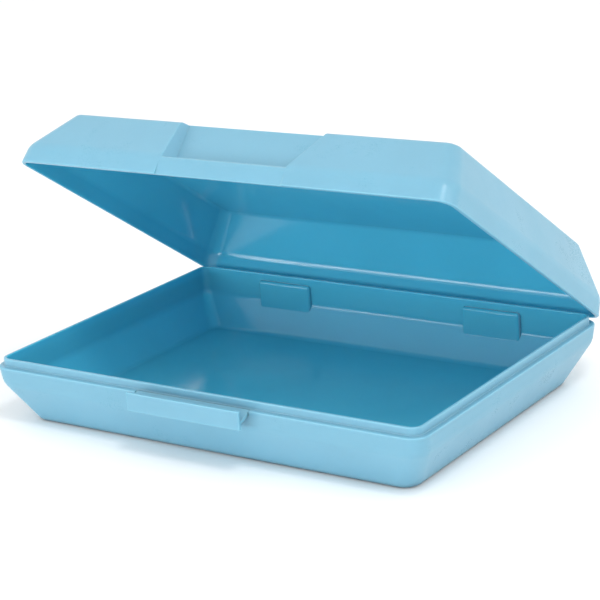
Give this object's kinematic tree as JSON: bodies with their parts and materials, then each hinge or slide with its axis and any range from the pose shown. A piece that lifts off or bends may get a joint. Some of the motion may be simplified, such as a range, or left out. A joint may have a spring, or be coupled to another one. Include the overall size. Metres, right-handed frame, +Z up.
{
  "type": "lunch box",
  "caption": "Flat rectangular plastic lunch box with sloping walls, shown with its hinged lid part open; grip latch plate and finger recess at the front.",
  "frame": {"origin": "centre of the tub's flat rest face, on the surface that the box stands on", "axes": "+X to the right along the width, +Y to the hinge at the back, +Z up; the latch faces -Y"},
  "size_m": [0.1998, 0.1552, 0.1173],
  "materials": {
    "tub_plastic": "satin",
    "latch_plastic": "satin",
    "lid_plastic": "satin"
  },
  "bodies": {
    "tub": {"tub": "tub_plastic"},
    "latch": {"latch": "latch_plastic"},
    "lid": {"lid": "lid_plastic"}
  },
  "joints": [
    {"name": "lid_hinge", "type": "hinge", "parent": "tub", "child": "lid", "pos_m": [0, 0.0713, 0.0194], "axis": [-1, 0, 0], "range_deg": [-33.8, 111.2]},
    {"name": "latch_flex", "type": "hinge", "parent": "tub", "child": "latch", "pos_m": [0, -0.07028, 0.02375], "axis": [1, 0, 0], "range_deg": [0, 5], "stiffness_Nm_per_rad": 0.7}
  ]
}
